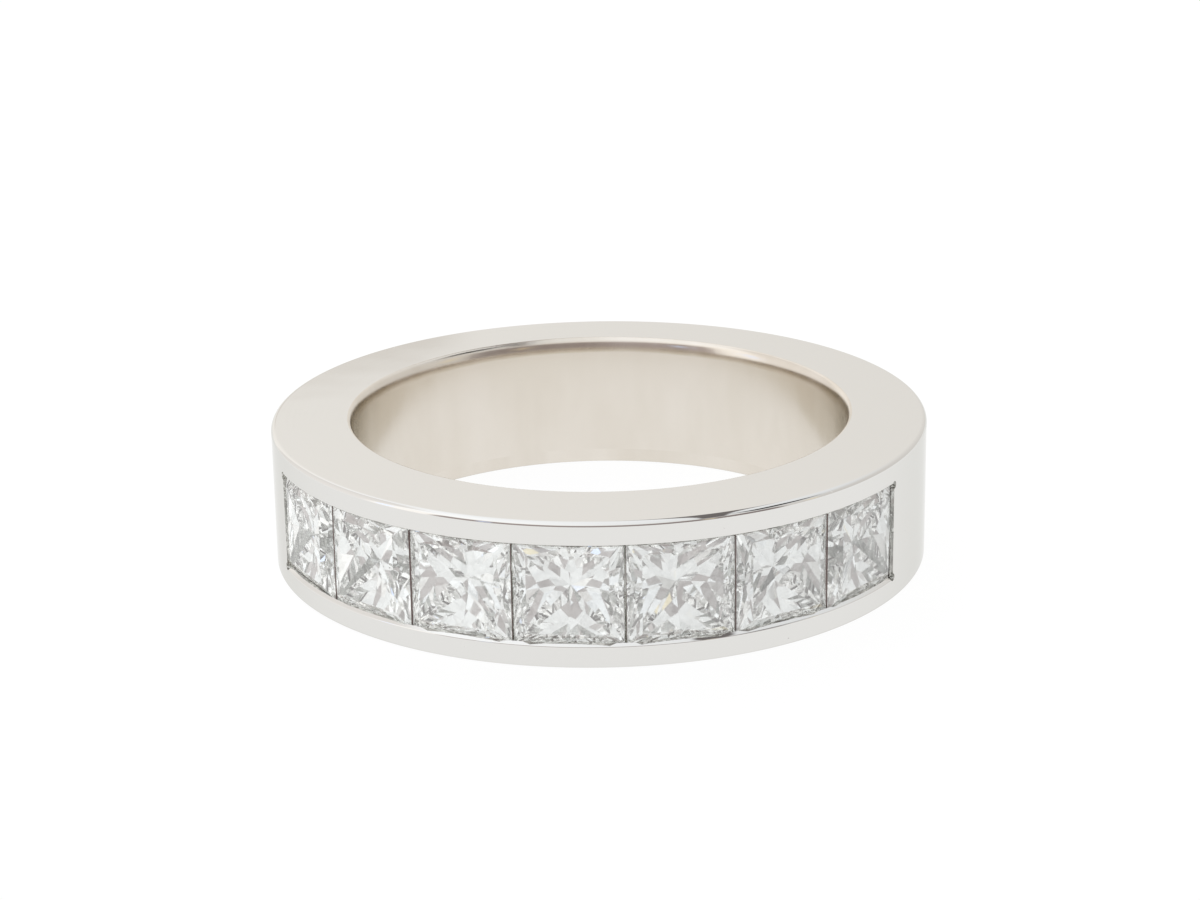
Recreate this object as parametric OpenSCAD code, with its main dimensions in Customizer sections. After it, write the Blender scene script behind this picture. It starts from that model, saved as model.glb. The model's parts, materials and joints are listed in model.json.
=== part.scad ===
// Half eternity ring: a plain polished band with a row of square stones set in a channel.
// The ring lies on its side. The finger hole runs along Z and the middle stone faces -Y.
// The origin is on the finger hole's axis, halfway across the band's width.

/* [Band] */
// Inside diameter, which sets the finger size
finger_diameter = 17; // [15:0.1:20]
// Width of the band, from one side face to the other
band_width = 4.9; // [4.6:0.05:6]
// Thickness of the wall where the middle stone sits
front_wall = 3.1; // [3.05:0.05:3.5]
// Thickness of the wall at the back of the shank
back_wall = 2.45; // [2:0.05:2.9]
// Rounding of the two outer edges
outer_rounding = 0.17; // [0.06:0.01:0.3]
// How far the blends at the finger hole's two edges run out along the side faces
hole_rounding = 0.22; // [0.06:0.01:0.4]
// How far those blends run down the finger hole
hole_blend = 0.55; // [0.06:0.01:0.8]

/* [Stones] */
// Number of stones in the row
stone_count = 7; // [3:1:8]
// Side of each square stone
stone_width = 3.5; // [3.1:0.05:3.6]
// Gap between one stone and the next
stone_gap = 0.05; // [0.02:0.01:0.1]
// Flat top of the stone, as a share of its width
table_share = 0.75; // [0.66:0.01:0.8]
// Height from girdle to table, as a share of the stone's width
crown_share = 0.086; // [0.07:0.002:0.1]
// Depth from girdle to point, as a share of the stone's width
pavilion_share = 0.585; // [0.52:0.005:0.6]

/* [Channel] */
// How far the rails' lips reach over the stones
lip_cover = 0.13; // [0.08:0.01:0.16]
// Bevel that opens each lip towards the outer face
lip_bevel = 0.08; // [0.02:0.01:0.12]
// How far the channel's ends reach over the end stones
end_cover = 0.15; // [0.08:0.01:0.25]
// Diameter of the drilled relief at each corner of the channel
corner_drill = 0.26; // [0.16:0.02:0.36]
// Play left around each stone
stone_play = 0.03; // [0.02:0.005:0.04]

/* [Hidden] */
$fn = 96;
// Enough to cut clear through a surface
past = 1;

// The outer face is round about an axis set a little towards the stones
finger_radius = finger_diameter / 2;
face_radius = finger_radius + (front_wall + back_wall) / 2;
face_shift = (front_wall - back_wall) / 2;
band_half = band_width / 2;

// Heights in a stone, measured along the line that its table faces
stone_half = stone_width / 2;
table_half = stone_half * table_share;
crown_height = stone_width * crown_share;
pavilion_depth = stone_width * pavilion_share;
girdle_height = 0.08;
// The crown breaks once between girdle and table: in from the girdle, up from it, as shares
crown_break = [0.45, 0.6];
// Chevron points along the middle of each pavilion side: out from the centre, down from the girdle
chevrons = [[0.82, 0.28], [0.54, 0.6], [0.26, 0.84]];

// The table's edges are level with the outer face, which sets how deep the stones sit
table_radius = sqrt(face_radius ^ 2 - table_half ^ 2);
girdle_top = table_radius - crown_height;
girdle_bottom = girdle_top - girdle_height;
stone_pitch = 2 * atan((stone_half + stone_gap / 2) / girdle_bottom);
row_end = stone_pitch * (stone_count - 1) / 2 + atan(stone_half / girdle_bottom);

// The lips clear the crowns, and the seats below them clear the pavilions
break_in = (stone_half - table_half) * crown_break[0];
break_up = crown_height * crown_break[1];
lip_half = stone_half - lip_cover;
crown_at_lip = girdle_top + lip_cover * break_up / break_in;
// Each lip is pressed down flat on to every crown, up to the round line where its bevel starts
lip_under = crown_at_lip + stone_play;
bevel_foot = norm([crown_at_lip, lip_half]) + stone_play;
mouth_half = lip_half + lip_bevel;
mouth_end = row_end - end_cover / girdle_top * 180 / PI;
seat_half = stone_half + stone_play;
trough_half = stone_half - 0.25;
seat_depth = (seat_half - trough_half) * chevrons[0][1] * pavilion_depth
    / ((1 - chevrons[0][0]) * stone_half);
seat_top = girdle_bottom - stone_play;
trough_floor = girdle_bottom - pavilion_depth - 2 * stone_play;
trough_end = row_end + stone_play / girdle_bottom * 180 / PI;

// Angle of stone i from the middle of the row
function stone_angle(i) = (i - (stone_count + 1) / 2) * stone_pitch;

// Places a shape about the outer face's axis, its X turned to an angle from the middle stone
module around_face(angle) {
    translate([0, -face_shift, 0])
        rotate([0, 0, angle - 90])
            children();
}

// Sweeps a profile, drawn as radius and height, to both sides of the middle stone
module sweep_profile(half_angle) {
    around_face(0)
        rotate_extrude(angle = 2 * half_angle, start = -half_angle)
            children();
}

// Half section of the outer form: a plain rectangle with its outer corners rounded
module face_profile() {
    edge = face_radius - outer_rounding;
    flat_half = band_half - outer_rounding;
    translate([0, -band_half])
        square([edge, band_width]);
    translate([0, -flat_half])
        square([face_radius, 2 * flat_half]);
    for (side = [-1, 1])
        translate([edge, side * flat_half])
            circle(outer_rounding);
}

// Half section of the blend where the finger hole meets the upper side face, a quarter of an ellipse
module hole_mouth_profile() {
    mouth = finger_radius + hole_rounding;
    difference() {
        translate([0, band_half - hole_blend])
            square([mouth, hole_blend + past]);
        translate([mouth, band_half - hole_blend])
            scale([hole_rounding, hole_blend])
                circle(1);
    }
}

module finger_hole() {
    cylinder(h = band_width + 2 * past, r = finger_radius, center = true);
    for (side = [0, 1])
        mirror([0, 0, side])
            rotate_extrude()
                hole_mouth_profile();
}

// Section of the trough under the lips: the girdle's groove, sloped seats and a flat floor
module trough_profile() {
    polygon([
        [trough_floor, -trough_half],
        [seat_top - seat_depth, -trough_half],
        [seat_top, -seat_half],
        [lip_under, -seat_half],
        [lip_under, seat_half],
        [seat_top, seat_half],
        [seat_top - seat_depth, trough_half],
        [trough_floor, trough_half]
    ]);
}

// The lips' undersides: flat over each stone, and no higher than the bevel's foot
module lip_undersides() {
    flat_length = 2 * lip_under * tan(stone_pitch / 2);
    intersection() {
        sweep_profile(trough_end)
            translate([girdle_bottom, -seat_half])
                square([bevel_foot - girdle_bottom, 2 * seat_half]);
        for (i = [1:stone_count])
            around_face(stone_angle(i))
                translate([0, -flat_length / 2, -band_half])
                    cube([lip_under, flat_length, band_width]);
    }
}

// Section of the mouth between the lips, which opens out to the face
module mouth_profile() {
    polygon([
        [crown_at_lip, -lip_half],
        [bevel_foot, -lip_half],
        [face_radius, -mouth_half],
        [face_radius + past, -mouth_half],
        [face_radius + past, mouth_half],
        [face_radius, mouth_half],
        [bevel_foot, lip_half],
        [crown_at_lip, lip_half]
    ]);
}

// Drilled reliefs that free the end stones' corners
module corner_reliefs() {
    for (end = [-1, 1], side = [-1, 1])
        around_face(end * mouth_end)
            translate([seat_top, 0, side * lip_half])
                rotate([0, 90, 0])
                    cylinder(h = face_radius - seat_top + past, d = corner_drill, $fn = 24);
}

module band() {
    color("gainsboro")
        difference() {
            translate([0, -face_shift, 0])
                rotate_extrude()
                    face_profile();
            finger_hole();
            sweep_profile(trough_end) trough_profile();
            lip_undersides();
            sweep_profile(mouth_end) mouth_profile();
            corner_reliefs();
        }
}

// Four points, one a quarter turn on from the next, from one point [x, y, z]
function quarter_turns(p) = [
    for (turn = [0:3])
        [p.x * cos(90 * turn) - p.y * sin(90 * turn), p.x * sin(90 * turn) + p.y * cos(90 * turn), p.z]
];

// A square stone with its table facing +Z and the top of its girdle at height 0.
// Each ring below is one corner or side point turned round the stone. Corner k follows side k.
module square_stone() {
    points = concat(
        quarter_turns([table_half, table_half, crown_height]),
        quarter_turns([stone_half - break_in, 0, break_up]),
        quarter_turns([stone_half, stone_half, 0]),
        quarter_turns([stone_half, stone_half, -girdle_height]),
        [for (c = chevrons)
            each quarter_turns([stone_half * c[0], 0, -girdle_height - pavilion_depth * c[1]])],
        [[0, 0, -girdle_height - pavilion_depth]]
    );
    table = 0;
    crown = 4;
    girdle = 8;
    base = 12;
    chevron = 16;
    last = chevron + 4 * (len(chevrons) - 1);
    culet = last + 4;
    faces = concat(
        [[table + 3, table + 2, table + 1, table]],
        [for (k = [0:3]) let (p = (k + 3) % 4) each [
            [table + p, table + k, crown + k],
            [table + p, crown + k, girdle + p],
            [table + k, girdle + k, crown + k],
            [crown + k, girdle + k, girdle + p],
            [girdle + p, girdle + k, base + k, base + p],
            [base + p, base + k, chevron + k],
            [base + p, last + k, culet],
            [last + k, base + k, culet]
        ]],
        [for (k = [0:3], from = [chevron:4:last - 1]) let (p = (k + 3) % 4) each [
            [base + p, from + k, from + 4 + k],
            [from + k, base + k, from + 4 + k]
        ]]
    );
    polyhedron(points, faces);
}

// Stone i of the row, counted from the end nearest -X
module stone(i) {
    color("aliceblue")
        around_face(stone_angle(i))
            translate([girdle_top, 0, 0])
                rotate([0, 90, 0])
                    square_stone();
}

band();
for (i = [1:stone_count])
    stone(i);
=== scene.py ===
import json
import math

import bmesh
import bpy
import numpy as np
from bpy.props import FloatProperty, FloatVectorProperty, IntProperty, PointerProperty
from mathutils import Matrix, Vector


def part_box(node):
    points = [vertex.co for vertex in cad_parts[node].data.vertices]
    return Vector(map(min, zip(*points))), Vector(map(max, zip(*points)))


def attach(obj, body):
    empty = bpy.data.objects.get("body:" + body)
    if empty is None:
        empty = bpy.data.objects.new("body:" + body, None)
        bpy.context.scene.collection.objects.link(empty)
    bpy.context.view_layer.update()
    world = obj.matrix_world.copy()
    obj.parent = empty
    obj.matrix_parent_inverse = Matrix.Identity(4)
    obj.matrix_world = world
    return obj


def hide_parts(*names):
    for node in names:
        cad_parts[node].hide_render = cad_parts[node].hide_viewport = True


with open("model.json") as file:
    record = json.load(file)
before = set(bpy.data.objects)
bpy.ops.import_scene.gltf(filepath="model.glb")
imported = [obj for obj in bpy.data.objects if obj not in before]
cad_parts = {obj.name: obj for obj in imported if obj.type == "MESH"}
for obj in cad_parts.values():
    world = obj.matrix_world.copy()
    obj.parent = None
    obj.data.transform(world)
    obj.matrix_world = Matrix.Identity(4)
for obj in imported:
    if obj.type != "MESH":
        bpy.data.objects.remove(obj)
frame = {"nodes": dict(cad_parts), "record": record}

bl_info = {
    "name": "Half Eternity Ring",
    "version": (1, 0, 0),
    "blender": (4, 5, 0),
    "location": "3D View > Sidebar > Ring",
    "description": "Dresses a channel set half eternity ring in polished white gold and diamond",
    "category": "Add Mesh",
}

# Lengths are in metres, as the frame is, and millimetres are multiplied by this
MM = 0.001

# The band's main sizes come from the frame
BAND_LOW, BAND_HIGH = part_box("band")
FACE_RADIUS = (BAND_HIGH.x - BAND_LOW.x) / 2
FACE_SHIFT = -(BAND_HIGH.y + BAND_LOW.y) / 2
BAND_HALF = BAND_HIGH.z
FINGER_HOLE = next(m for m in frame["record"]["mounts"] if m["name"] == "finger_hole")
HOLE_RADIUS = FINGER_HOLE["dims"]["r_mm"] * MM

# The stones' sizes come from the middle one, whose table faces -Y
STONES = sorted(name for name in frame["nodes"] if name.startswith("stone_"))
STONE_LOW, STONE_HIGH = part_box(STONES[len(STONES) // 2])
STONE_HALF = STONE_HIGH.x
TABLE_RADIUS = -STONE_LOW.y - FACE_SHIFT
CULET_RADIUS = -STONE_HIGH.y - FACE_SHIFT

# Steps along the channel's outline: half an end's straight, half a corner's arc
END_STEPS = 8
CORNER_STEPS = 6
# Place of the first quarter's corner in an outline
OUTLINE_CORNER = END_STEPS + CORNER_STEPS
# Steps across the lips' softened edges, and across the finger hole's straight wall
SOFT_STEPS = 4
BORE_STEPS = 8
# Faces that meet at less than this angle are shaded as one surface
SMOOTH_LIMIT = math.radians(35)
# Numbers of the band's two materials
POLISHED = 0
SATIN = 1

# The floor's quads, and how far it lies below the band, so that the two don't share a plane
FLOOR_COLUMNS = 96
FLOOR_RINGS = 24
FLOOR_GAP = 0.002 * MM

# The photograph's frame and the place in it of the ring's centre, in pixels, and the sensor's width in mm
PICTURE_WIDTH = 1200
PICTURE_HEIGHT = 900
CENTRE_PIXEL = (600.6, 474.9)
SENSOR_WIDTH = 36


def linear(colour):
    """Linear RGBA of an sRGB hex colour: ((c + 0.055) / 1.055) ^ 2.4, or c / 12.92 where it is dark."""
    shares = [int(colour[i:i + 2], 16) / 255 for i in (1, 3, 5)]
    return [c / 12.92 if c <= 0.04045 else ((c + 0.055) / 1.055) ** 2.4 for c in shares] + [1.0]


class BandSettings(bpy.types.PropertyGroup):
    outer_rounding: FloatProperty(
        name="Outer Rounding", description="Radius of the two outer edges",
        default=0.17 * MM, min=0.02 * MM, max=0.4 * MM, unit="LENGTH", precision=6)
    hole_rounding: FloatProperty(
        name="Hole Rounding", description="How far the blends at the hole's edges run out from the hole",
        default=0.22 * MM, min=0.02 * MM, max=0.4 * MM, unit="LENGTH", precision=6)
    hole_blend: FloatProperty(
        name="Hole Blend", description="How far the blends at the hole's edges run down the finger hole",
        default=0.55 * MM, min=0.02 * MM, max=0.8 * MM, unit="LENGTH", precision=6)
    lip_cover: FloatProperty(
        name="Lip Cover", description="How far the rails' lips reach over the stones",
        default=0.13 * MM, unit="LENGTH", precision=6)
    lip_bevel: FloatProperty(
        name="Lip Bevel", description="Bevel that opens each lip towards the outer face",
        default=0.08 * MM, unit="LENGTH", precision=6)
    end_cover: FloatProperty(
        name="End Cover", description="How far the channel's ends reach over the end stones",
        default=0.15 * MM, unit="LENGTH", precision=6)
    corner_drill: FloatProperty(
        name="Corner Relief", description="Diameter of the drilled relief at each corner of the channel",
        default=0.26 * MM, unit="LENGTH", precision=6)
    stone_play: FloatProperty(
        name="Play", description="Clearance left around each stone",
        default=0.03 * MM, unit="LENGTH", precision=6)
    seat_width: FloatProperty(
        name="Seat Width", description="How far the seats reach in under the stones",
        default=0.25 * MM, unit="LENGTH", precision=6)
    border: FloatProperty(
        name="Border", description="Plain border that joins the channel's mouth to the turned form",
        default=0.25 * MM, unit="LENGTH", precision=6)
    lip_softening: FloatProperty(
        name="Lip Softening", description="Radius that polishing leaves on the lips' outer edges",
        default=0.05 * MM, unit="LENGTH", precision=6)
    stone_gap: FloatProperty(
        name="Stone Gap", description="Gap between one stone and the next",
        default=0.05 * MM, unit="LENGTH", precision=6)
    rounding_steps: IntProperty(
        name="Rounding Steps", description="Steps in each rounded edge", default=8, min=2, max=24)
    angle_step: FloatProperty(
        name="Angle Step", description="Spacing of the mesh's columns round the band",
        default=math.radians(1), subtype="ANGLE")
    polished_colour: FloatVectorProperty(
        name="Polished Metal", description="Colour of the polished white gold",
        default=linear("#E2E1DE"), size=4, subtype="COLOR")
    satin_colour: FloatVectorProperty(
        name="Satin Metal", description="Colour of the white gold inside the finger hole",
        default=linear("#DCD5CA"), size=4, subtype="COLOR")
    satin_light: FloatVectorProperty(
        name="Satin Metal, Worn", description="Colour of the satin white gold where it is a little brighter",
        default=linear("#E5DFD6"), size=4, subtype="COLOR")


class StoneSettings(bpy.types.PropertyGroup):
    girdle_height: FloatProperty(
        name="Girdle Height", description="Height of the stone's straight edge",
        default=0.08 * MM, unit="LENGTH", precision=6)
    crown_share: FloatProperty(
        name="Crown Share", description="Height from girdle to table, as a share of the stone's width",
        default=0.086)
    table_share: FloatProperty(
        name="Table Share", description="Flat top of the stone, as a share of its width", default=0.75)
    crown_break: FloatVectorProperty(
        name="Crown Break", description="Where the crown breaks, in from the girdle and up, as shares",
        default=(0.45, 0.6), size=2)
    first_chevron: FloatVectorProperty(
        name="First Chevron", description="Where the pavilion's first slope ends, out and down, as shares",
        default=(0.82, 0.28), size=2)
    colour: FloatVectorProperty(
        name="Diamond", description="Body colour of the first stone, less what fine inclusions take",
        default=linear("#DFE2E1"), size=4, subtype="COLOR")
    last_colour: FloatVectorProperty(
        name="Last Diamond", description="Body colour of the last stone, to which the row grows greyer",
        default=linear("#C4C7C6"), size=4, subtype="COLOR")
    # The stones' glow is painted light: an emission that stands in for the light fine inclusions scatter,
    # and lifts their dark facets
    painted_glow_colour: FloatVectorProperty(
        name="Haze", description="Colour of the light that fine inclusions scatter",
        default=linear("#FFFEFB"), size=4, subtype="COLOR")
    # Strength of that painted glow
    painted_glow: FloatProperty(
        name="Haze Strength", description="Strength of the light that fine inclusions scatter",
        default=0.033)
    # The girdles are matt, and their dark brown is painted shade for the gaps between the stones
    painted_girdle_shade: FloatVectorProperty(
        name="Girdle", description="Colour of the matt girdles and what polishing leaves round them",
        default=linear("#8A736D"), size=4, subtype="COLOR")


class StageSettings(bpy.types.PropertyGroup):
    camera_distance: FloatProperty(
        name="Camera Distance", description="From the ring's centre to the camera",
        default=103.3 * MM, unit="LENGTH", precision=4)
    camera_azimuth: FloatProperty(
        name="Camera Azimuth", description="How far the camera stands to the right of the middle stone",
        default=math.radians(5.43), subtype="ANGLE")
    camera_elevation: FloatProperty(
        name="Camera Elevation", description="Height of the camera above the ring's plane",
        default=math.radians(19.14), subtype="ANGLE")
    camera_roll: FloatProperty(
        name="Camera Roll", description="Turn that lifts the picture's right side",
        default=math.radians(0.916), subtype="ANGLE")
    lens: FloatProperty(
        name="Lens", description="Focal length in millimetres on a 36 mm sensor", default=88.74)
    floor_radius: FloatProperty(
        name="Floor Radius", description="Reach of the pale floor round the ring",
        default=600 * MM, unit="LENGTH")
    floor_glow: FloatProperty(
        name="Floor Glow", description="Strength of the light that comes up through the floor", default=0.94)
    horizon_colour: FloatVectorProperty(
        name="Tent Walls", description="Colour of the light tent's walls",
        default=linear("#FEFBF8"), size=4, subtype="COLOR")
    tent_light: FloatProperty(
        name="Tent Light", description="Strength of the light tent as a whole", default=1.05)
    slope: FloatProperty(
        name="Slope", description="How much weaker the tent's light is at the far right than at its middle",
        default=0.27)
    roof_light: FloatProperty(
        name="Roof Light", description="Strength of the light tent's roof", default=1.1)
    roof_colour: FloatVectorProperty(
        name="Roof", description="Tint of the light tent's roof",
        default=linear("#FAFCFF"), size=4, subtype="COLOR")
    hoop_colour: FloatVectorProperty(
        name="Hoop", description="Colour of the dark hoop that holds the tent open at the right",
        default=linear("#7E7978"), size=4, subtype="COLOR")


# Elevations in degrees between which the tent's walls turn into its roof
ROOF_RISE = (24, 50)

# The hoop is a circle in the tent's sphere, about a level axis that is turned back from the right by aside
# degrees. Its edges are the cosines of their angles from that axis.
HOOP = {"aside": 18.5, "edges": (0.262, 0.39), "edge_soft": 0.03, "rise": (34, 100), "soft": 10}

# What stands out in the tent's walls: its range of elevation, its range of azimuth from the camera, and the
# width of its soft edges, all in degrees, and its linear colour
TENT_WALL = {
    "fold": {"rise": (8, 17), "turn": (-177, -166), "soft": 1.5, "colour": linear("#ECE7E2")},
    "left wall": {"rise": (-4, 56), "turn": (-142, -84), "soft": 10, "colour": linear("#E6E3E1")},
    "dim room": {"rise": (-2, 29), "turn": (-58, 64), "soft": 6, "colour": linear("#A29896")},
    "dark shelf": {"rise": (40, 56), "turn": (62, 97), "soft": 5, "colour": linear("#2C2827")},
    "cool pane": {"rise": (11, 19), "turn": (-42, -37), "soft": 2, "colour": [0.75, 0.9, 1.25, 1]},
    "amber pane": {"rise": (11, 19), "turn": (35, 39), "soft": 2, "colour": [1.25, 1.08, 0.7, 1]},
    "daylight": {"rise": (8, 22), "turn": (-81, -75), "soft": 3, "colour": [0.85, 0.96, 1.25, 1]},
    "warm lamp": {"rise": (10, 22), "turn": (74, 79), "soft": 3, "colour": [1.25, 1.12, 0.85, 1]},
}


def around_face(angle, radius, height):
    """Points about the outer face's axis: x = r sin a, y = -shift - r cos a, z = h.
    The angle a is measured from the middle stone and grows towards +X."""
    angle, radius, height = np.broadcast_arrays(angle, radius, height)
    return np.stack([radius * np.sin(angle), -FACE_SHIFT - radius * np.cos(angle), height], axis=-1)


def around_hole(angle, radius, height):
    """Points about the finger hole's axis: x = r sin a, y = -r cos a, z = h."""
    return around_face(angle, radius, height) + [0, FACE_SHIFT, 0]


def patch(points, around, across, material):
    """A grid of points with its quads. Each point's UV is its run round the band and across it, in mm.
    Returns points, faces, the UV of each face's corners and each face's material number."""
    rows, columns = points.shape[:2]
    index = np.arange(rows * columns).reshape(rows, columns)
    corners = [index[:-1, :-1], index[1:, :-1], index[1:, 1:], index[:-1, 1:]]
    faces = np.stack(corners, axis=-1).reshape(-1, 4)
    around, across = np.broadcast_arrays(around, across)
    uv = np.stack([around, across], axis=-1).reshape(-1, 2) / MM
    return points.reshape(-1, 3), faces, uv[faces], np.full(len(faces), material)


def welded_mesh(name, patches, merge=1e-8):
    """One mesh from several patches, with the points that lie within merge of each other made one."""
    starts = np.cumsum([0] + [len(p[0]) for p in patches[:-1]])
    points = np.concatenate([p[0] for p in patches])
    faces = np.concatenate([p[1] + start for p, start in zip(patches, starts)])
    corner_uv = np.concatenate([p[2] for p in patches])
    materials = np.concatenate([p[3] for p in patches])
    places = np.round(points / merge).astype(np.int64)
    _, first, same = np.unique(places, axis=0, return_index=True, return_inverse=True)
    mesh = bpy.data.meshes.new(name)
    mesh.from_pydata(points[first], [], same.reshape(-1)[faces])
    mesh.uv_layers.new(name="run").uv.foreach_set("vector", corner_uv.reshape(-1).astype(np.float32))
    mesh.polygons.foreach_set("material_index", materials.astype(np.int32))
    return mesh


def outward(mesh):
    """Turns all faces of a closed mesh outwards."""
    work = bmesh.new()
    work.from_mesh(mesh)
    bmesh.ops.recalc_face_normals(work, faces=work.faces)
    work.to_mesh(mesh)
    work.free()


def shade_by_area(mesh, limit):
    """Each corner's normal is the sum of area times normal over its neighbouring faces, of those that turn
    from its own by less than the limit. So large faces stay flat, and the roundings beside them smooth."""
    count = len(mesh.polygons)
    normals = np.empty(count * 3)
    areas = np.empty(count)
    sizes = np.empty(count, int)
    corners = np.empty(len(mesh.loops), int)
    mesh.polygons.foreach_get("normal", normals)
    mesh.polygons.foreach_get("area", areas)
    mesh.polygons.foreach_get("loop_total", sizes)
    mesh.loops.foreach_get("vertex_index", corners)
    normals = normals.reshape(-1, 3)
    owner = np.repeat(np.arange(count), sizes)
    order = np.argsort(corners, kind="stable")
    most = np.bincount(corners).max()
    total = np.zeros((len(corners), 3))
    # Corners of one vertex lie together in this order, so each is set against those up to most places away
    for step in range(-most, most + 1):
        other = np.roll(order, step)
        meets = corners[order] == corners[other]
        turn = np.einsum("ij,ij->i", normals[owner[order]], normals[owner[other]])
        share = areas[owner[other]] * meets * (turn > math.cos(limit))
        total[order] += normals[owner[other]] * share[:, None]
    total /= np.linalg.norm(total, axis=1)[:, None]
    mesh.polygons.foreach_set("use_smooth", np.ones(count, bool))
    mesh.normals_split_custom_set(total.tolist())


def channel_sizes(band, stones):
    """Heights, half widths and angles of the channel, worked out as the part's source does."""
    width = 2 * STONE_HALF
    crown = width * stones.crown_share
    girdle_top = TABLE_RADIUS - crown
    girdle_bottom = girdle_top - stones.girdle_height
    pitch = 2 * math.atan((STONE_HALF + band.stone_gap / 2) / girdle_bottom)
    row_end = pitch * (len(STONES) - 1) / 2 + math.atan(STONE_HALF / girdle_bottom)
    lip_half = STONE_HALF - band.lip_cover
    mouth_half = lip_half + band.lip_bevel
    mouth_end = row_end - band.end_cover / girdle_top
    # The lips lie on the crown's lower slope, which rises by break_up over break_in
    break_in = STONE_HALF * (1 - stones.table_share) * stones.crown_break[0]
    break_up = crown * stones.crown_break[1]
    crown_at_lip = girdle_top + band.lip_cover * break_up / break_in
    # The seats follow the pavilions' first slope down to the trough's walls
    out, down = stones.first_chevron
    pavilion = girdle_bottom - CULET_RADIUS
    seat_run = band.seat_width + band.stone_play
    seat_depth = seat_run * down * pavilion / ((1 - out) * STONE_HALF)
    seat_top = girdle_bottom - band.stone_play
    return {
        "girdle_top": girdle_top,
        "girdle_bottom": girdle_bottom,
        "pitch": pitch,
        "lip_half": lip_half,
        "lip_under": crown_at_lip + band.stone_play,
        "bevel_foot": math.hypot(crown_at_lip, lip_half) + band.stone_play,
        "seat_top": seat_top,
        "seat_foot": seat_top - seat_depth,
        "trough_half": STONE_HALF - band.seat_width,
        "trough_floor": CULET_RADIUS - 2 * band.stone_play,
        "mouth_half": mouth_half,
        "mouth_end": mouth_end,
        "trough_end": row_end + band.stone_play / girdle_bottom,
        "border_half": mouth_half + band.border,
        # The border's ends also clear the drilled reliefs
        "border_end": mouth_end + (band.border + band.corner_drill / 2) / FACE_RADIUS,
    }


def whole_outline(angle, height):
    """A closed outline from its first quarter, which runs from the middle of the end up to the corner
    and along to the middle of the long side. The others mirror it in angle, in both and in height."""
    angles = np.concatenate([angle, -angle[-2::-1], -angle[1:], angle[-2::-1]])
    heights = np.concatenate([height, height[-2::-1], -height[1:], -height[-2::-1]])
    return angles, heights


def rectangle_outline(radius, end, half, long_steps, corner):
    """Outline of a rectangle on a cylinder, out to an angle and a height. The corner steps take up
    a length of it each way from the corner."""
    turn = corner / radius
    height = np.concatenate([
        np.linspace(0, half - corner, END_STEPS + 1),
        np.linspace(half - corner, half, CORNER_STEPS + 1)[1:]])
    angle = np.concatenate([
        np.linspace(end, end - turn, CORNER_STEPS + 1)[1:],
        np.linspace(end - turn, 0, long_steps + 1)[1:]])
    return whole_outline(
        np.concatenate([np.full(len(height), end), angle]),
        np.concatenate([height, np.full(len(angle), half)]))


def mouth_outline(radius, end, half, centre, drill, long_steps):
    """Outline of the mouth, whose corners are arcs of the drilled reliefs: angle = end + r cos t / radius
    and height = centre + r sin t, with t from -90 degrees round to where the arc meets the long side."""
    t = np.linspace(-math.pi / 2, math.pi - math.asin((half - centre) / drill), 2 * CORNER_STEPS + 1)
    arc_angle = end + drill * np.cos(t) / radius
    arc_height = centre + drill * np.sin(t)
    straight = np.linspace(0, arc_height[0], END_STEPS + 1)[:-1]
    along = np.linspace(arc_angle[-1], 0, long_steps + 1)[1:]
    return whole_outline(
        np.concatenate([np.full(len(straight), end), arc_angle, along]),
        np.concatenate([straight, arc_height, np.full(len(along), half)]))


def pressed_lip(sizes, outline, least=0.005 * MM):
    """Radii of the lips' undersides along an outline: flat over each stone, so r = lip_under / cos a with
    the angle a from the nearest stone's middle, and always at least a little below the bevel's foot."""
    pitch = sizes["pitch"]
    first = -pitch * (len(STONES) - 1) / 2
    from_middle = (outline[0] - first + pitch / 2) % pitch - pitch / 2
    radii = np.minimum(sizes["lip_under"] / np.cos(from_middle), sizes["bevel_foot"] - least)
    return radii, outline


def rounding(radius, height, out, up, steps, start):
    """Quarter of an ellipse in a section, about a centre: r = radius + out cos t, z = height + up sin t."""
    t = np.linspace(start, start + math.pi / 2, steps + 1)
    return radius + out * np.cos(t), height + up * np.sin(t)


def lip_edges(band, sizes):
    """Radii and half widths across a lip's softened outer edge: an arc of radius s about
    (face - s, mouth + s tan(b / 2)), where b is the bevel's turn from the face."""
    soft = band.lip_softening
    mouth_half = sizes["mouth_half"]
    bevel_turn = math.atan2(FACE_RADIUS - sizes["bevel_foot"], mouth_half - sizes["lip_half"])
    turn = np.linspace(0, bevel_turn, SOFT_STEPS + 1)
    radii = FACE_RADIUS - soft * (1 - np.cos(turn))
    halves = mouth_half + soft * (math.tan(bevel_turn / 2) - np.sin(turn))
    return zip(radii, halves)


def channel_levels(band, sizes, long_steps):
    """Radius and outline of each level of the channel's walls, from the border round its mouth, over the
    lips and the grooves under them, to the seats, the trough's walls and its floor."""
    drill = band.corner_drill / 2
    lip_half = sizes["lip_half"]
    bevel_foot = sizes["bevel_foot"]
    trough_half = sizes["trough_half"]
    floor = sizes["trough_floor"]
    seat_half = STONE_HALF + band.stone_play
    seat = dict(end=sizes["trough_end"], long_steps=long_steps, corner=2 * drill)
    lip = dict(end=sizes["mouth_end"], centre=lip_half, drill=drill, long_steps=long_steps)
    return [
        (FACE_RADIUS, rectangle_outline(
            FACE_RADIUS, sizes["border_end"], sizes["border_half"], long_steps, 2 * drill)),
        *[(radius, mouth_outline(radius, half=half, **lip)) for radius, half in lip_edges(band, sizes)],
        (bevel_foot, mouth_outline(bevel_foot, half=lip_half, **lip)),
        pressed_lip(sizes, mouth_outline(bevel_foot, half=lip_half, **lip)),
        pressed_lip(sizes, rectangle_outline(bevel_foot, half=seat_half, **seat)),
        (sizes["seat_top"], rectangle_outline(sizes["seat_top"], half=seat_half, **seat)),
        (sizes["seat_foot"], rectangle_outline(sizes["seat_foot"], half=trough_half, **seat)),
        (floor, rectangle_outline(floor, half=trough_half, **seat)),
    ]


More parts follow.
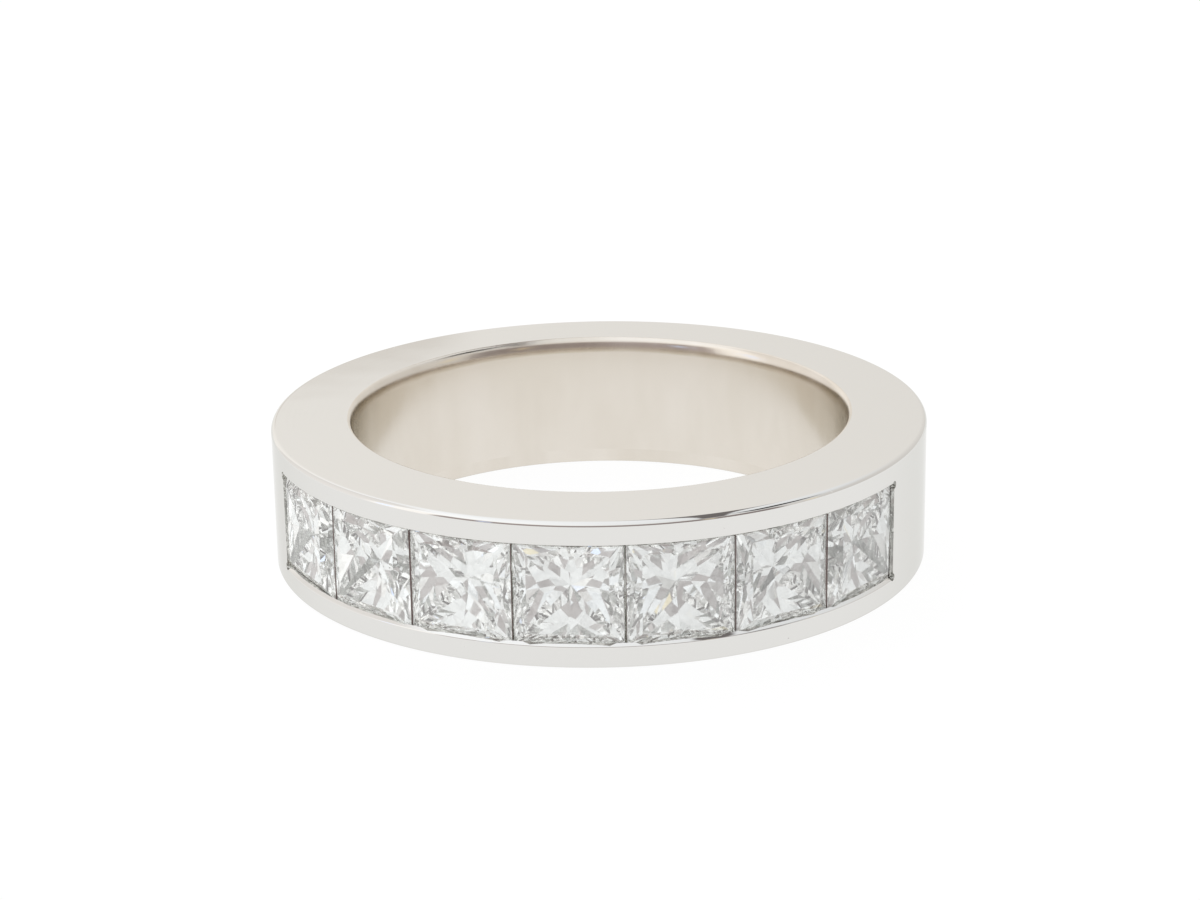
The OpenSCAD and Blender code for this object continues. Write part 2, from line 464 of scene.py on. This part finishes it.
def short_side(heights):
    """Heights along the whole end of an outline, mirrored from its first quarter."""
    return np.concatenate([-heights[OUTLINE_CORNER:0:-1], heights[:OUTLINE_CORNER + 1]])


def channel_patches(levels, long_side):
    """The channel's walls, a surface through all its levels, and its closed floor."""
    walls = np.stack([around_face(angle, radius, height) for radius, (angle, height) in levels])
    run = levels[0][1][0] * FACE_RADIUS
    depth = np.stack([np.broadcast_to(radius, run.shape) for radius, _ in levels])
    floor, (angles, heights) = levels[-1]
    along = angles[long_side][:, None]
    across = short_side(heights)[None, :]
    return [
        patch(walls, run, depth, POLISHED),
        patch(around_face(along, floor, across), along * floor, across, POLISHED),
    ]


def turned_patches(band, sizes, border, long_side):
    """The turned form round the channel's border: the outer face, and on each side a section of the outer
    rounding, the flat side face and the hole's blend, which is carried round. Last is the hole's wall."""
    angles, heights = border
    half = sizes["border_half"]
    end = sizes["border_end"]
    # The border's own columns across the front, then even ones round the back
    back = np.linspace(end, 2 * math.pi - end, round((2 * math.pi - 2 * end) / band.angle_step) + 1)
    turned = np.concatenate([angles[long_side][::-1], back[1:]])[:, None]
    across = short_side(heights)[None, :]
    back = back[:, None]
    patches = [patch(around_face(back, FACE_RADIUS, across), back * FACE_RADIUS, across, POLISHED)]

    steps = band.rounding_steps
    edge = band.outer_rounding
    outer = rounding(FACE_RADIUS - edge, BAND_HALF - edge, edge, edge, steps, 0)
    inner = rounding(
        HOLE_RADIUS + band.hole_rounding, BAND_HALF - band.hole_blend,
        band.hole_rounding, band.hole_blend, steps, math.pi / 2)
    face_radii = np.concatenate([[FACE_RADIUS], outer[0]])
    face_heights = np.concatenate([[half], outer[1]])
    run = turned * FACE_RADIUS
    for side in (1, -1):
        section = np.concatenate([
            around_face(turned, face_radii, side * face_heights),
            around_hole(turned, inner[0], side * inner[1])], axis=1)
        lengths = np.linalg.norm(np.diff(section[0], axis=0), axis=1)
        across = side * (half + np.concatenate([[0], np.cumsum(lengths)]))[None, :]
        # The felt also reaches the finger hole's blends, the last columns of the section
        blend = across.shape[1] - steps - 1
        patches.append(patch(section[:, :blend + 1], run, across[:, :blend + 1], POLISHED))
        patches.append(patch(section[:, blend:], run, across[:, blend:], SATIN))
    wall = np.linspace(-inner[1][-1], inner[1][-1], BORE_STEPS + 1)[None, :]
    patches.append(patch(around_hole(turned, HOLE_RADIUS, wall), turned * HOLE_RADIUS, wall, SATIN))
    return patches


class RING_OT_make_band(bpy.types.Operator):
    """Makes the band: a turned form with rounded edges, and the channel cut into its front"""
    bl_idname = "ring.make_band"
    bl_label = "Make Band"

    def execute(self, context):
        band = context.scene.ring_band
        sizes = channel_sizes(band, context.scene.ring_stones)
        long_steps = round(sizes["mouth_end"] / band.angle_step)
        long_side = slice(OUTLINE_CORNER, OUTLINE_CORNER + 2 * (long_steps + CORNER_STEPS) + 1)
        levels = channel_levels(band, sizes, long_steps)
        border = levels[0][1]
        mesh = welded_mesh("band_polished", [
            *channel_patches(levels, long_side),
            *turned_patches(band, sizes, border, long_side)])
        outward(mesh)
        shade_by_area(mesh, SMOOTH_LIMIT)
        piece = bpy.data.objects.new("band_polished", mesh)
        context.scene.collection.objects.link(piece)
        mesh.materials.append(polished_white_gold(band))
        mesh.materials.append(satin_white_gold(band))
        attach(piece, "root")
        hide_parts("band")
        return {"FINISHED"}


def add_node(tree, kind, inputs=None, **settings):
    """Adds a node with its settings. inputs maps a socket's name or number to a value or an output."""
    made = tree.nodes.new(kind)
    for key, value in settings.items():
        setattr(made, key, value)
    for key, value in (inputs or {}).items():
        if isinstance(value, bpy.types.NodeSocket):
            tree.links.new(value, made.inputs[key])
        else:
            made.inputs[key].default_value = value
    return made


def reckon(tree, operation, *values):
    """Result of a Math node on numbers or other nodes' outputs."""
    return add_node(tree, "ShaderNodeMath", dict(enumerate(values)), operation=operation).outputs[0]


def carry(tree, value, source, target=(0, 1), **settings):
    """Result of a Map Range node, which carries a value from one range to another."""
    return add_node(tree, "ShaderNodeMapRange", {
        "Value": value, "From Min": source[0], "From Max": source[1],
        "To Min": target[0], "To Max": target[1]}, **settings).outputs["Result"]


def mix(tree, share, first, second):
    """A colour between two. A Mix node's colour sockets are 6 and 7, and its colour output is 2."""
    return add_node(tree, "ShaderNodeMix", {0: share, 6: first, 7: second}, data_type="RGBA").outputs[2]


def noise(tree, place, **inputs):
    """Noise from 0 to 1 at a place."""
    return add_node(tree, "ShaderNodeTexNoise", {"Vector": place, **inputs}).outputs["Fac"]


def bump(tree, height, depth, **inputs):
    """Normal of a surface that rises by depth where the height is 1."""
    return add_node(tree, "ShaderNodeBump", {
        "Height": height, "Strength": 1.0, "Distance": depth, **inputs}).outputs["Normal"]


def within(tree, value, low, high, soft):
    """Share that is 1 between low and high, with soft edges: smoothstep of half - |value - middle|."""
    offset = reckon(tree, "SUBTRACT", value, (low + high) / 2)
    away = reckon(tree, "ABSOLUTE", offset)
    half = (high - low) / 2
    return carry(tree, away, (half + soft / 2, half - soft / 2), interpolation_type="SMOOTHSTEP")


def new_material(name):
    """An empty node material and its tree."""
    material = bpy.data.materials.new(name)
    material.use_nodes = True
    material.node_tree.nodes.clear()
    return material, material.node_tree


def finish_material(tree, inputs):
    """Ends a material's tree with the surface that its nodes lead up to."""
    surface = add_node(tree, "ShaderNodeBsdfPrincipled", inputs)
    add_node(tree, "ShaderNodeOutputMaterial", {"Surface": surface.outputs[0]})


# White gold mirrors a little less than a perfect metal where it is seen almost edge on
EDGE_TINT = linear("#EEEEEC")


def polished_white_gold(band):
    """White gold, buffed to a mirror: neutral with a faint warmth. Its hairlines show only in the light."""
    material, tree = new_material("buffed_white_gold")
    run = add_node(tree, "ShaderNodeUVMap", uv_map="run").outputs["UV"]
    place = add_node(tree, "ShaderNodeTexCoord").outputs["Object"]
    # Hairlines from wear run round the band: about 4 mm long and 0.04 mm wide
    stretch = add_node(tree, "ShaderNodeMapping", {"Vector": run, "Scale": (1 / 4, 1 / 0.04, 1)})
    hairlines = noise(tree, stretch.outputs[0], Scale=1.0, Detail=3.0)
    roughness = carry(tree, hairlines, (0.45, 0.75), (0.03, 0.08))
    # Buffing leaves the surface very slightly wavy over about 2.5 mm
    wave = noise(tree, place, Scale=1 / (2.5 * MM), Detail=1.0)
    waved = bump(tree, wave, 0.006 * MM)
    scratched = bump(tree, hairlines, 0.0003 * MM, Normal=waved)
    # A pit about 0.06 mm wide here and there, one to each cell of 2.5 mm
    cells = add_node(
        tree, "ShaderNodeTexVoronoi", {"Vector": run, "Scale": 1 / 2.5}, voronoi_dimensions="2D")
    pits = carry(tree, cells.outputs["Distance"], (0.004, 0.014))
    pitted = bump(tree, pits, 0.02 * MM, Normal=scratched)
    finish_material(tree, {
        "Base Color": band.polished_colour, "Metallic": 1.0, "Roughness": roughness,
        "Specular Tint": EDGE_TINT, "Normal": pitted})
    return material


def satin_white_gold(band):
    """White gold, left from the polishing felt: a cloudy, warmer satin that blurs what it mirrors."""
    material, tree = new_material("felted_white_gold")
    run = add_node(tree, "ShaderNodeUVMap", uv_map="run").outputs["UV"]
    # Felt marks stand across the band, in soft patches about 3 mm wide and 8 mm tall
    stretch = add_node(tree, "ShaderNodeMapping", {"Vector": run, "Scale": (0.35, 0.12, 1)})
    clouds = noise(tree, stretch.outputs[0], Scale=1.0, Detail=3.0, Roughness=0.55)
    worn = carry(tree, clouds, (0.35, 0.65))
    finish_material(tree, {
        "Base Color": mix(tree, worn, band.satin_colour, band.satin_light), "Metallic": 1.0,
        "Roughness": carry(tree, clouds, (0.3, 0.7), (0.17, 0.27)),
        "Specular Tint": EDGE_TINT, "Normal": bump(tree, clouds, 0.014 * MM)})
    return material


def cut_diamond(stones, sizes):
    """Diamond, polished flat: hard-edged facets split what is round them into small patches. A faint painted
    glow makes it a little milky, in place of the light that fine inclusions scatter. The girdles are matt
    and painted dark as shade, which draws a crisp line between two stones."""
    material, tree = new_material("cut_diamond")
    place = add_node(tree, "ShaderNodeTexCoord").outputs["Object"]
    # The painted glow comes and goes in patches about 0.7 mm across, as clouds of inclusions would
    clouds = noise(tree, place, Scale=1400.0, Detail=3.0)
    painted_glow = carry(tree, clouds, (0.3, 0.7), (0.4 * stones.painted_glow, 1.6 * stones.painted_glow))

    # Height along the nearest stone's own axis: r cos(a), with a counted from that stone's middle
    moved = add_node(tree, "ShaderNodeVectorMath", {0: place, 1: (0, FACE_SHIFT, 0)}, operation="ADD")
    parts = add_node(tree, "ShaderNodeSeparateXYZ", {0: moved.outputs[0]})
    ahead = reckon(tree, "MULTIPLY", parts.outputs["Y"], -1.0)
    angle = reckon(tree, "ARCTAN2", parts.outputs["X"], ahead)
    half_pitch = sizes["pitch"] / 2
    nearest = reckon(tree, "WRAP", angle, half_pitch, -half_pitch)
    level = add_node(tree, "ShaderNodeCombineXYZ", {"X": parts.outputs["X"], "Y": parts.outputs["Y"]})
    radius = add_node(tree, "ShaderNodeVectorMath", {0: level.outputs[0]}, operation="LENGTH")
    height = reckon(tree, "MULTIPLY", radius.outputs["Value"], reckon(tree, "COSINE", nearest))
    # Mask of the girdles: matt and opaque, and coloured dark brown as painted shade between the stones
    girdle = within(tree, height, sizes["girdle_bottom"], sizes["girdle_top"], 0.002 * MM)

    # The stones grow a little greyer along the row, from its end at -X to its end at +X
    along = carry(tree, angle, (-sizes["trough_end"], sizes["trough_end"]))
    body = mix(tree, along, stones.colour, stones.last_colour)
    # Nearly no roughness on the facets, for what the inclusions blur, and much on the girdles
    finish_material(tree, {
        "Base Color": mix(tree, girdle, body, stones.painted_girdle_shade),
        "Roughness": carry(tree, girdle, (0, 1), (0.02, 0.6)), "IOR": 2.417,
        "Transmission Weight": reckon(tree, "SUBTRACT", 1.0, girdle),
        "Emission Color": stones.painted_glow_colour, "Emission Strength": painted_glow})
    return material


class RING_OT_make_stones(bpy.types.Operator):
    """Gives each square stone its diamond finish"""
    bl_idname = "ring.make_stones"
    bl_label = "Make Stones"

    def execute(self, context):
        scene = context.scene
        diamond = cut_diamond(scene.ring_stones, channel_sizes(scene.ring_band, scene.ring_stones))
        for name in STONES:
            stone = frame["nodes"][name]
            stone.data.materials.clear()
            stone.data.materials.append(diamond)
        return {"FINISHED"}


def direction(azimuth, elevation):
    """Unit vector towards a place seen from the ring: azimuth 0 is -Y and grows towards +X."""
    flat = math.cos(elevation)
    return Vector((math.sin(azimuth) * flat, -math.cos(azimuth) * flat, math.sin(elevation)))


def lit_white_acrylic(glow):
    """White acrylic lit from below, as on a light table: pale, even and nearly free of shadow."""
    material, tree = new_material("lit_white_acrylic")
    place = add_node(tree, "ShaderNodeTexCoord").outputs["Object"]
    # Faint mottling, in patches of about 8 mm
    mottle = noise(tree, place, Scale=120.0, Detail=2.0)
    finish_material(tree, {
        "Base Color": mix(tree, mottle, linear("#474747"), linear("#50504F")),
        "Roughness": 0.9, "Specular IOR Level": 0.1,
        "Emission Color": linear("#FFFFFF"), "Emission Strength": glow})
    return material


def light_tent(world, stage):
    """Light all round from a white tent, brightest overhead and at the left. Its front opens on a dim room,
    low down, a dark hoop stands to the right of the camera, and a dark shelf is high up at the right."""
    world.use_nodes = True
    tree = world.node_tree
    tree.nodes.clear()
    way = add_node(tree, "ShaderNodeTexCoord").outputs["Generated"]
    turned = add_node(tree, "ShaderNodeVectorRotate", {
        "Vector": way, "Axis": (0, 0, 1), "Angle": -stage.camera_azimuth},
        rotation_type="AXIS_ANGLE").outputs[0]
    parts = add_node(tree, "ShaderNodeSeparateXYZ", {0: turned}).outputs
    azimuth = reckon(tree, "ARCTAN2", parts["X"], reckon(tree, "MULTIPLY", parts["Y"], -1.0))
    elevation = reckon(tree, "ARCSINE", parts["Z"])

    roof_edges = [math.radians(rise) for rise in ROOF_RISE]
    roof = carry(tree, elevation, roof_edges, interpolation_type="SMOOTHSTEP")
    lit = [channel * stage.roof_light for channel in stage.roof_colour[:3]] + [1]
    tent = mix(tree, roof, stage.horizon_colour, lit)

    aside = math.radians(HOOP["aside"])
    beside = add_node(tree, "ShaderNodeVectorMath", {
        0: turned, 1: (math.cos(aside), math.sin(aside), 0)}, operation="DOT_PRODUCT").outputs["Value"]
    bowed = within(tree, beside, *HOOP["edges"], HOOP["edge_soft"])
    high = within(tree, elevation, *map(math.radians, HOOP["rise"]), math.radians(HOOP["soft"]))
    tent = mix(tree, reckon(tree, "MULTIPLY", bowed, high), tent, stage.hoop_colour)
    for part in TENT_WALL.values():
        soft = math.radians(part["soft"])
        rise = within(tree, elevation, *map(math.radians, part["rise"]), soft)
        turn = within(tree, azimuth, *map(math.radians, part["turn"]), soft)
        tent = mix(tree, reckon(tree, "MULTIPLY", rise, turn), tent, part["colour"])
    strength = carry(tree, parts["X"], (-1.0, 1.0), (
        stage.tent_light * (1 + stage.slope), stage.tent_light * (1 - stage.slope)))
    background = add_node(tree, "ShaderNodeBackground", {"Color": tent, "Strength": strength})
    add_node(tree, "ShaderNodeOutputWorld", {"Surface": background.outputs[0]})


class RING_OT_make_stage(bpy.types.Operator):
    """Sets the floor, the light and the camera"""
    bl_idname = "ring.make_stage"
    bl_label = "Make Stage"

    def execute(self, context):
        stage = context.scene.ring_stage
        # Floor: a disc of rings of quads that widen as the square of their number, just below the band
        angle = np.linspace(0, 2 * math.pi, FLOOR_COLUMNS + 1)[:, None]
        reach = stage.floor_radius * np.linspace(0.02, 1, FLOOR_RINGS)[None, :] ** 2
        disc = np.stack(np.broadcast_arrays(
            reach * np.sin(angle), -reach * np.cos(angle), -BAND_HALF - FLOOR_GAP), axis=-1)
        mesh = welded_mesh("floor", [patch(disc, angle * stage.floor_radius, reach, 0)])
        middle = bmesh.new()
        middle.from_mesh(mesh)
        inner = [
            edge for edge in middle.edges
            if edge.is_boundary and edge.verts[0].co.xy.length < stage.floor_radius / 2]
        bmesh.ops.contextual_create(middle, geom=inner)
        bmesh.ops.recalc_face_normals(middle, faces=middle.faces)
        middle.to_mesh(mesh)
        middle.free()
        floor = bpy.data.objects.new("floor", mesh)
        context.scene.collection.objects.link(floor)
        mesh.materials.append(lit_white_acrylic(stage.floor_glow))

        world = bpy.data.worlds.new("light_tent")
        context.scene.world = world
        light_tent(world, stage)

        # Camera: right, up and back axes with the roll, aimed so that the ring's centre falls on its pixel
        focal = stage.lens / SENSOR_WIDTH * PICTURE_WIDTH
        camera_way = direction(stage.camera_azimuth, stage.camera_elevation)
        level = Vector((math.cos(stage.camera_azimuth), math.sin(stage.camera_azimuth), 0))
        upright = camera_way.cross(level)
        roll = stage.camera_roll
        right = level * math.cos(roll) - upright * math.sin(roll)
        up = level * math.sin(roll) + upright * math.cos(roll)
        pixel = stage.camera_distance / focal
        left_of_middle = PICTURE_WIDTH / 2 - CENTRE_PIXEL[0]
        below_middle = CENTRE_PIXEL[1] - PICTURE_HEIGHT / 2
        target = (right * left_of_middle + up * below_middle) * pixel
        place = camera_way * stage.camera_distance
        back = (place - target).normalized()
        right = up.cross(back).normalized()
        up = back.cross(right)
        data = bpy.data.cameras.new("camera")
        data.lens = stage.lens
        data.sensor_width = SENSOR_WIDTH
        data.clip_start = 1 * MM
        data.clip_end = 10
        camera = bpy.data.objects.new("camera", data)
        camera.matrix_world = Matrix.Translation(place) @ Matrix((right, up, back)).transposed().to_4x4()
        context.scene.collection.objects.link(camera)
        context.scene.camera = camera

        context.scene.view_settings.view_transform = "Standard"
        # Light is mirrored many times inside each stone
        context.scene.cycles.max_bounces = 48
        context.scene.cycles.transmission_bounces = 40
        context.scene.cycles.glossy_bounces = 40
        return {"FINISHED"}


class RING_PT_panel(bpy.types.Panel):
    bl_label = "Half Eternity Ring"
    bl_idname = "RING_PT_panel"
    bl_space_type = "VIEW_3D"
    bl_region_type = "UI"
    bl_category = "Ring"

    def draw(self, context):
        for group, operator in (
                ("ring_band", "ring.make_band"),
                ("ring_stones", "ring.make_stones"),
                ("ring_stage", "ring.make_stage")):
            settings = getattr(context.scene, group)
            box = self.layout.box()
            for name in settings.__annotations__:
                box.prop(settings, name)
            box.operator(operator)


SETTINGS = {"ring_band": BandSettings, "ring_stones": StoneSettings, "ring_stage": StageSettings}
CLASSES = [*SETTINGS.values(), RING_OT_make_band, RING_OT_make_stones, RING_OT_make_stage, RING_PT_panel]


def register():
    for made in CLASSES:
        bpy.utils.register_class(made)
    for name, group in SETTINGS.items():
        setattr(bpy.types.Scene, name, PointerProperty(type=group))


def unregister():
    for name in SETTINGS:
        delattr(bpy.types.Scene, name)
    for made in reversed(CLASSES):
        bpy.utils.unregister_class(made)


def main():
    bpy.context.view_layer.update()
    register()
    bpy.ops.ring.make_band()
    bpy.ops.ring.make_stones()
    bpy.ops.ring.make_stage()


if __name__ == "__main__":
    main()
